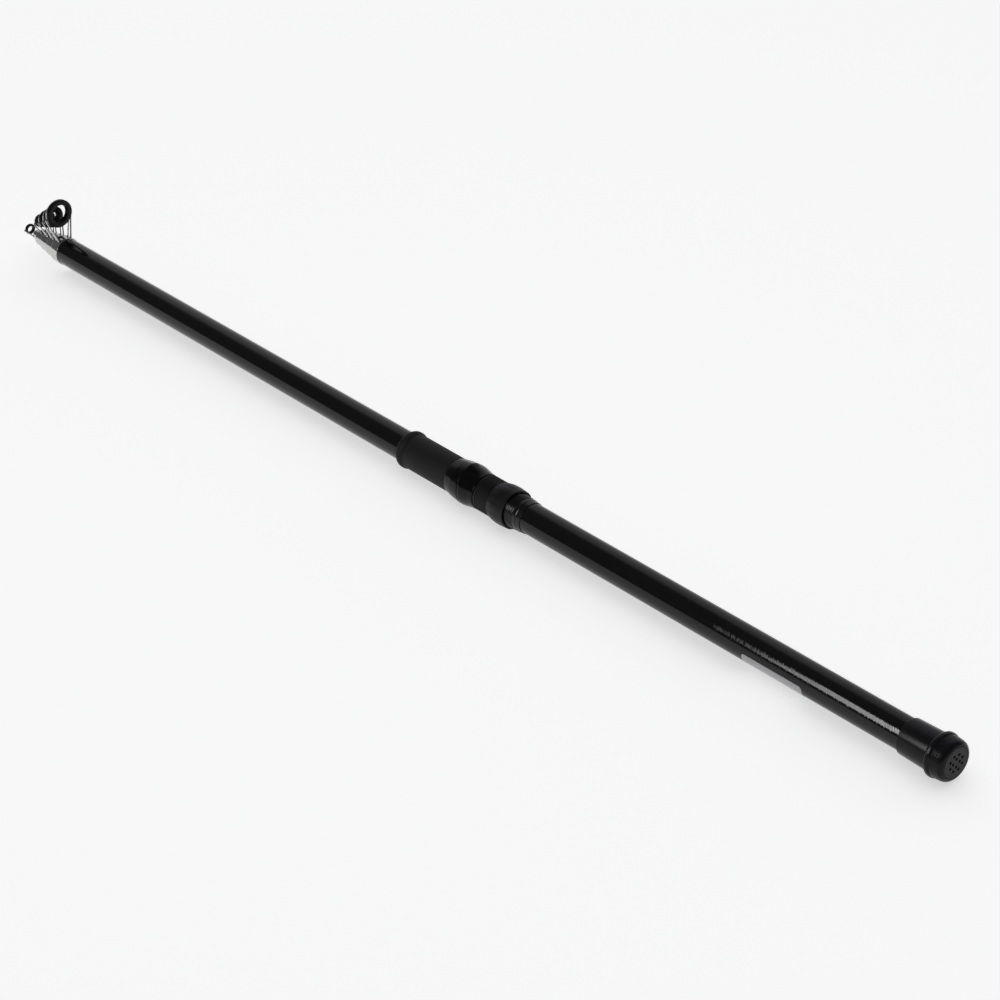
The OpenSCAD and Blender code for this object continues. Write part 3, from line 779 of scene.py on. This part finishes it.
class ROD_OT_butt(bpy.types.Operator):
    """Rubber cap with its ribbed collar, and the screwed plug"""

    bl_idname = "rod.butt"
    bl_label = "Butt"

    def execute(self, context):
        s = context.scene.rod_sizes
        x0, x1, r = span("butt_sleeve")
        bore = span("handle_blank")[2] + CAP_GAP
        step = span("handle_blank")[0] - CAP_GAP
        recess = span("butt_plug")[2] + PLUG_GAP

        def mm(x, dr, rounding):
            """Corner at a distance from the butt face, relative to the largest radius."""
            return x * MM, r + dr * MM, rounding * MM

        cap = turned("butt_cap", [
            (step, bore, 0), (step, recess, 0), (x0, recess, 0.3 * MM),
            mm(0.42, -4.3, 0.4), mm(1.0, -3.2, 1.2), mm(2.5, -1.75, 1.4), mm(4.2, -1.5, 0.8),
            mm(10.6, -1.1, 0.7), mm(11.6, -0.1, 0.9), mm(14.6, -0.05, 0.9), mm(15.6, -2.0, 0.5),
            mm(16.3, -2.45, 0.5), (x1, bore + 1.32 * MM, 0.8 * MM), (x1, bore, 0.1 * MM)])
        ribs = grown("cap_ribs", tree("rod_ribs", rib_tree), finish("cap_rubber"),
                     Count=s.cap_ribs, Pitch=s.rib_pitch, Radius=r - 1.82 * MM, Rise=0.0065,
                     Thickness=1.15 * MM, Start=5.0 * MM)
        ribbed = join("butt_cap", [cap, ribs])
        place(ribbed, "cap_rubber", "handle", "cap_rubber", "butt_sleeve")
        dress("butt_plug", "plug_plastic")
        dress("plug_seal_ring", "soft_black")
        dress("bumper_pad", "soft_black")
        dress("threaded_insert", "dark_plastic")
        return {"FINISHED"}


class ROD_OT_seat(bpy.types.Operator):
    """Threaded barrel, its rear trim and the lock nut"""

    bl_idname = "rod.seat"
    bl_label = "Reel seat"

    def execute(self, context):
        s = context.scene.rod_sizes
        b0, b1, crest = span("seat_barrel")
        bore = handle_radius(b0) + SEAT_GAP
        core = crest - 0.5 * MM
        end = span("movable_hood")[1]
        tube = turned("seat_tube", [
            (b0, bore, 0), (b0, core, 0.1 * MM), (b1, core, 0.1 * MM), (b1, bore, 0)])
        turns = (end - b0 - 3 * MM) / s.thread_pitch
        thread = grown("seat_thread", tree("rod_thread", thread_tree), finish("dark_plastic"),
                       Pitch=s.thread_pitch, Turns=turns, Radius=core, Height=s.thread_height,
                       Start=b0 + 1.4 * MM)
        barrel = join("seat_barrel_threaded", [tube, thread])
        place(barrel, "dark_plastic", "handle", "dark_plastic", "seat_barrel")
        t0, t1, r = span("seat_rear_trim")
        trim = turned("seat_trim", [
            (t0, bore, 0), (t0, bore + 0.45 * MM, 0.3 * MM),
            (t0 + 4.4 * MM, core + 0.12 * MM, 0.6 * MM), (t0 + 5.1 * MM, r, 0.5 * MM),
            (t1, r, 0.3 * MM), (t1, bore, 0)])
        place(trim, "dark_plastic", "handle", "hood_gloss", "seat_rear_trim")
        self.nut(s, crest + RUN_GAP)
        return {"FINISHED"}

    def nut(self, s, run):
        """Nut with shallow flutes in its grip and ribs on its neck."""
        x0, x1, r = span("lock_nut")
        step = x0 + 18.5 * MM
        neck = run + 0.6 * MM
        fade = 2 * MM
        shape = fillet([
            (x0, r - 1.3 * MM, 0), (x0, r - 0.62 * MM, 0.4 * MM),
            (x0 + 3.2 * MM, r - 0.42 * MM, 0.8 * MM), (x0 + 8.3 * MM, r, 4 * MM),
            (x0 + 14 * MM, r - 0.3 * MM, 3 * MM), (step, run + 1.45 * MM, 0.5 * MM),
            (step + 0.7 * MM, neck, 0.5 * MM), (x1, neck, 0.4 * MM), (x1, run, 0)])
        outer = [shape[0]]
        for (xa, ra), (xb, rb) in zip(shape, shape[1:]):
            cuts = max(1, round((xb - xa) / (0.6 * MM)))
            outer += [(xa + (xb - xa) * k / cuts, ra + (rb - ra) * k / cuts)
                      for k in range(1, cuts + 1)]
        rows = []
        for x, base in outer:
            ramp = min(1.0, max(0.0, (x - x0 - 2.4 * MM) / fade),
                       max(0.0, (step - 0.6 * MM - x) / fade))
            deep = s.flute_depth * ramp
            rows.append(ring_row(
                x, lambda a: base - deep * max(0.0, math.cos(s.flute_count * a)) ** 0.8))
        inside = ((step - 2 * MM, run), (step - 2.6 * MM, neck), (x0, neck))
        rows += [ring_row(x, radius) for x, radius in inside]
        body = skin("nut_body", rows)
        ribs = grown("nut_ribs", tree("rod_ribs", rib_tree), finish("nut_plastic"), Count=7,
                     Pitch=s.thread_pitch, Radius=neck, Rise=0.0, Thickness=1.0 * MM,
                     Start=step + 2.6 * MM)
        nut = join("lock_nut_fluted", [body, ribs])
        place(nut, "nut_plastic", "lock_nut", "nut_satin", "lock_nut")


class ROD_OT_hoods(bpy.types.Operator):
    """Two gloss hoods with the pockets for a reel foot"""

    bl_idname = "rod.hoods"
    bl_label = "Hoods"

    def execute(self, context):
        run = span("seat_barrel")[2] + RUN_GAP
        glued = span("seat_barrel")[2] - GLUED
        grip = span("foregrip_sleeve")[2]
        x0, x1, r = span("movable_hood")
        shape = [(0, run + 0.95 * MM), (0.03, run + 1.15 * MM), (0.34, r - 1.5 * MM),
                 (0.68, r - 0.55 * MM), (0.87, r), (1, r)]
        hood = self.hood("hood_sliding", x0, x1, shape, run, run, (2, 7.5, 11),
                         (4.5, 7.9, POCKET_RADIUS))
        place(hood, "hood_plastic", "movable_hood", "hood_gloss", "movable_hood")
        x0, x1, r = span("fixed_hood")
        shape = [(0, grip), (0.057, grip + 0.4 * MM), (0.5, r - 0.6 * MM), (0.886, r), (1, r)]
        hood = self.hood("hood_fixed", x1, x0, shape, glued, run, (1, 7.3, 11),
                         (4.5, 7.3, POCKET_RADIUS))
        place(hood, "hood_plastic", "handle", "hood_gloss", "fixed_hood")
        return {"FINISHED"}

    def hood(self, name, back, lip, shape, bore, run, bulge, pocket):
        """Skin of one hood, from its back to its lip outside and from the lip to its back inside.

        shape is (share of the length, radius); bulge and pocket are the distance from the back at
        which each starts and its radius there and at the lip, in mm.
        """
        length = abs(lip - back)
        along = (lip - back) / length
        centre = run + (POCKET_HEIGHT - POCKET_RADIUS) * MM
        chamfer, rounding, blend = 0.25 * MM, 0.5 * MM, 0.5 * MM
        steps, pocket_steps = 44, 12

        def plain(x):
            """Radius of the hood without its bulge."""
            t = x / length
            for (ta, ra), (tb, rb) in zip(shape, shape[1:]):
                if t <= tb:
                    return ra + (rb - ra) * (t - ta) / (tb - ta)
            return shape[-1][1]

        def circle(a, radius):
            """Distance from the rod's axis to a circle above it."""
            inside = radius ** 2 - (centre * math.sin(a)) ** 2
            return centre * math.cos(a) + math.sqrt(inside) if inside > 0 else 0.0

        def wide(x, part):
            """Radius of the bulge or the pocket."""
            start, r0, r1 = part
            u = (x - start * MM) / (length - start * MM)
            return (r0 + (r1 - r0) * u) * MM

        def outer(x, drop):
            """Outside radius as a function of the angle, with the bulge blended in."""
            def radius(a):
                base = plain(x)
                if x >= bulge[0] * MM and math.cos(a) > 0:
                    high = circle(a, wide(x, bulge))
                    mix = max(0.0, 1 - abs(base - high) / blend)
                    fade = min(1.0, (x - bulge[0] * MM) / blend)
                    base = max(base, high) + mix * mix * blend / 4 * fade
                return base - drop
            return radius

        def inner(x):
            """Inside radius as a function of the angle, with the pocket above."""
            def radius(a):
                if math.cos(a) <= 0:
                    return bore
                return max(bore, circle(a, wide(x, pocket)))
            return radius

        rows = [ring_row(back, outer(0, chamfer))]
        for k in range(steps + 1):
            x = chamfer + (length - chamfer - rounding) * k / steps
            rows.append(ring_row(back + along * x, outer(x, 0)))
        for share in (0.35, 0.65, 0.87, 1.0):
            x = length - rounding * (1 - share)
            drop = rounding * (1 - math.sqrt(1 - share ** 2 * 0.98))
            rows.append(ring_row(back + along * x, outer(x, drop)))
        deep = pocket[0] * MM
        for k in range(pocket_steps + 1):
            x = length - (length - deep) * k / pocket_steps
            rows.append(ring_row(back + along * x, inner(x)))
        rows.append(ring_row(back + along * deep, bore))
        rows.append(ring_row(back, bore))
        return skin(name, rows)


class ROD_OT_foregrip(bpy.types.Operator):
    """Matte foregrip sleeve and the bead ahead of it"""

    bl_idname = "rod.foregrip"
    bl_label = "Foregrip"

    def execute(self, context):
        x0, x1, r = span("foregrip_sleeve")
        glued = span("seat_barrel")[2] - GLUED
        sleeve = turned("foregrip", [
            (x0, glued, 0), (x0, r, 0.5 * MM), (x1, r, 0.1 * MM), (x1, glued, 0)])
        place(sleeve, "grip_rubber", "handle", "grip_rubber", "foregrip_sleeve")
        b0, b1, high = span("foregrip_bead")
        bore = handle_radius(b0) + BEAD_GAP
        bead = turned("foregrip_end", [
            (b0, bore, 0), (b0, r, 0.1 * MM), (b0 + 0.7 * MM, r + 0.1 * MM, 0.5 * MM),
            (b0 + 2.2 * MM, high, 1.2 * MM), (b0 + 5.3 * MM, high, 1.2 * MM),
            (b1 - 0.5 * MM, r - 0.15 * MM, 0.8 * MM), (b1, r - 0.7 * MM, 0.3 * MM),
            (b1, bore, 0)])
        place(bead, "grip_rubber", "handle", "grip_rubber", "foregrip_bead")
        return {"FINISHED"}


def section_radii(i):
    """Outside radius of drawn section i at its butt and at its tip end."""
    r = span("section_%d_blank" % i)[2]
    return r, r - SECTION_TAPER


class ROD_OT_sections(bpy.types.Operator):
    """Lacquered tubes that draw out of the handle, and the solid tip"""

    bl_idname = "rod.sections"
    bl_label = "Sections"

    def execute(self, context):
        wall = SECTION_WALL
        for i in GUIDES:
            node = "section_%d_blank" % i
            x0, x1, _ = span(node)
            r0, r1 = section_radii(i)
            tube = turned("section_%d_tube" % i, [
                (x0, r0 - wall, 0), (x0, r0, 0.2 * MM), (x1, r1, 0.2 * MM),
                (x1, r1 - wall, 0.1 * MM)])
            place(tube, "blank_lacquer", "section_%d" % i, "blank_black", node)
        x0, x1, r = span("tip_blank")
        straight = span("tip_top_frame")[0] - 8 * MM
        thin, axis = 1.6 * MM, 0.02 * MM
        tip = turned("tip_rod", [
            (x0, axis, 0), (x0, r, 0.3 * MM), (straight, thin, 1 * MM), (x1, thin, 0.3 * MM),
            (x1, axis, 0)], closed=False)
        place(tip, "blank_lacquer", "tip", "blank_black", "tip_blank")
        return {"FINISHED"}


def wire_seed(name, paths):
    """Edges of wire paths; a path whose last point is its first is closed."""
    mesh = bpy.data.meshes.new(name)
    points, edges = [], []
    for path in paths:
        closed = path[0] == path[-1]
        own = path[:-1] if closed else path
        first = len(points)
        points += own
        edges += [(first + k, first + k + 1) for k in range(len(own) - 1)]
        if closed:
            edges.append((first + len(own) - 1, first))
    mesh.from_pydata(points, edges, [])
    return mesh


def ring_place(node, wire):
    """Height and radius of a line ring, and the place and radius of the hoop that holds it."""
    low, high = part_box(node)
    r = (high.y - low.y) / 2
    return (high.z + low.z) / 2, r, high.x - 1.05 * wire, r - 0.15 * MM - wire


def line_ring(name, node, wire, bore):
    """Rounded black ring: flange behind, spigot inside the hoop."""
    low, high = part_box(node)
    z, r, _, _ = ring_place(node, wire)
    spigot = r - 0.25 * MM - 2 * wire
    mid = high.x - 2.05 * wire - 0.1 * MM
    soft = (mid - low.x) * 0.4
    return turned(name, [
        (low.x, bore, soft), (low.x, r, soft), (mid, r, 0.25 * MM), (mid, spigot, 0),
        (high.x, spigot, 0.3 * MM), (high.x, bore, 0.4 * MM)], z=z, segments=RING_SEGMENTS)


def wires(name, radius, bend, legs, x, z, hub):
    """Bent legs of a guide, and its hoop at x with its centre at z."""
    group, metal = tree("rod_wires", wire_tree), finish("guide_metal")
    hoop = ring_row(x, hub, z, segments=72)
    leg_seed = wire_seed(name + "_leg_paths", legs)
    hoop_seed = wire_seed(name + "_hoop_path", [hoop + hoop[:1]])
    return [
        grown(name + "_legs", group, metal, leg_seed, Radius=radius * 0.9, Bend=bend, Solder=0.35),
        grown(name + "_hoop", group, metal, hoop_seed, Radius=radius, Bend=0.0, Solder=0.0)]


class ROD_OT_guides(bpy.types.Operator):
    """Four guides: metal sleeve, bent wire legs, hoop and black line ring"""

    bl_idname = "rod.guides"
    bl_label = "Guides"

    def execute(self, context):
        s = context.scene.rod_sizes
        for i in GUIDES:
            self.guide(s, i)
        return {"FINISHED"}

    def guide(self, s, i):
        """One guide on its drawn section; its wire is thinner than the one before it has."""
        name, body = "guide_%d" % i, "section_%d" % i
        low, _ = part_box(name + "_frame")
        x0, x1 = low.x, low.x + s.sleeve_length
        outer = -low.z
        bore = section_radii(i)[1] + SLEEVE_GAP
        wire = s.wire / 2 * (1 - 0.09 * (i - GUIDES[0]))
        z, r, hoop_x, hub = ring_place(name + "_ring", wire)
        shoulder = r + 0.3 * MM + 0.9 * wire
        foot = (outer + bore) / 2
        legs = []
        for side in (-1, 1):
            for reach, end, start in GUIDE_LEGS:
                a, f = math.radians(end), math.radians(start)
                legs.append([
                    (x0 + s.sleeve_length * reach, side * foot * math.sin(f), foot * math.cos(f)),
                    (hoop_x, side * shoulder * math.sin(a), z - shoulder * math.cos(a)),
                    (hoop_x, side * hub * math.sin(a), z - hub * math.cos(a))])
        sleeve = turned(name + "_sleeve", [
            (x0, bore, 0), (x0, outer, 0.45 * MM), (x1, outer, 0.7 * MM), (x1, bore, 0.1 * MM)])
        metal = join(name + "_metal",
                     [sleeve] + wires(name, wire, s.bend, legs, hoop_x, z, hub))
        place(metal, "guide_metal", body, "guide_metal", name + "_frame")
        ring = line_ring(name + "_line_ring", name + "_ring", wire, BORES[i] * MM)
        place(ring, "ring_glaze", body, "ring_black", name + "_ring")


class ROD_OT_tip_top(bpy.types.Operator):
    """Tip-top: tube, two wires, hoop and the last ring"""

    bl_idname = "rod.tip_top"
    bl_label = "Tip-top"

    def execute(self, context):
        low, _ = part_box("tip_top_frame")
        wire = 0.55 * MM
        x0, x1, outer, bore = low.x, low.x + 8.1 * MM, -low.z, 1.65 * MM
        z, r, hoop_x, hub = ring_place("tip_top_ring", wire)
        shoulder = r + 0.5 * MM + 0.9 * wire
        legs = [[(x1 - 2 * MM, side * outer * 0.94, 0), (hoop_x, side * shoulder, z),
                 (hoop_x, side * hub, z)] for side in (-1, 1)]
        tube = turned("tip_tube", [
            (x0, bore, 0), (x0, outer, 0.4 * MM), (x1 - 0.9 * MM, outer - 0.4 * MM, 0.6 * MM),
            (x1, outer - 1.0 * MM, 0.5 * MM), (x1, bore, 0.2 * MM)])
        bend = context.scene.rod_sizes.bend
        metal = join("tip_top_metal",
                     [tube] + wires("tip_top", wire, bend, legs, hoop_x, z, hub))
        place(metal, "guide_metal", "tip", "guide_metal", "tip_top_frame")
        ring = line_ring("tip_line_ring", "tip_top_ring", wire, TIP_BORE * MM)
        place(ring, "ring_glaze", "tip", "ring_black", "tip_top_ring")
        return {"FINISHED"}


CLASSES = [
    RodSizes, RodColours, RodStage, ROD_OT_stage, ROD_OT_handle, ROD_OT_print, ROD_OT_butt,
    ROD_OT_seat, ROD_OT_hoods, ROD_OT_foregrip, ROD_OT_sections, ROD_OT_guides, ROD_OT_tip_top,
]


class ROD_PT_panel(bpy.types.Panel):
    """Lists the pieces of the rod"""

    bl_label = "Rod"
    bl_idname = "ROD_PT_panel"
    bl_space_type = "VIEW_3D"
    bl_region_type = "UI"
    bl_category = "Rod"

    def draw(self, context):
        for cls in CLASSES:
            if issubclass(cls, bpy.types.Operator):
                self.layout.operator(cls.bl_idname)


def register():
    for cls in CLASSES + [ROD_PT_panel]:
        bpy.utils.register_class(cls)
    bpy.types.Scene.rod_sizes = bpy.props.PointerProperty(type=RodSizes)
    bpy.types.Scene.rod_colours = bpy.props.PointerProperty(type=RodColours)
    bpy.types.Scene.rod_stage = bpy.props.PointerProperty(type=RodStage)


def unregister():
    del bpy.types.Scene.rod_stage
    del bpy.types.Scene.rod_colours
    del bpy.types.Scene.rod_sizes
    for cls in reversed(CLASSES + [ROD_PT_panel]):
        bpy.utils.unregister_class(cls)


def main():
    register()
    bpy.ops.rod.stage()
    bpy.ops.rod.handle()
    bpy.ops.rod.print()
    bpy.ops.rod.butt()
    bpy.ops.rod.seat()
    bpy.ops.rod.hoods()
    bpy.ops.rod.foregrip()
    bpy.ops.rod.sections()
    bpy.ops.rod.guides()
    bpy.ops.rod.tip_top()


if __name__ == "__main__":
    main()
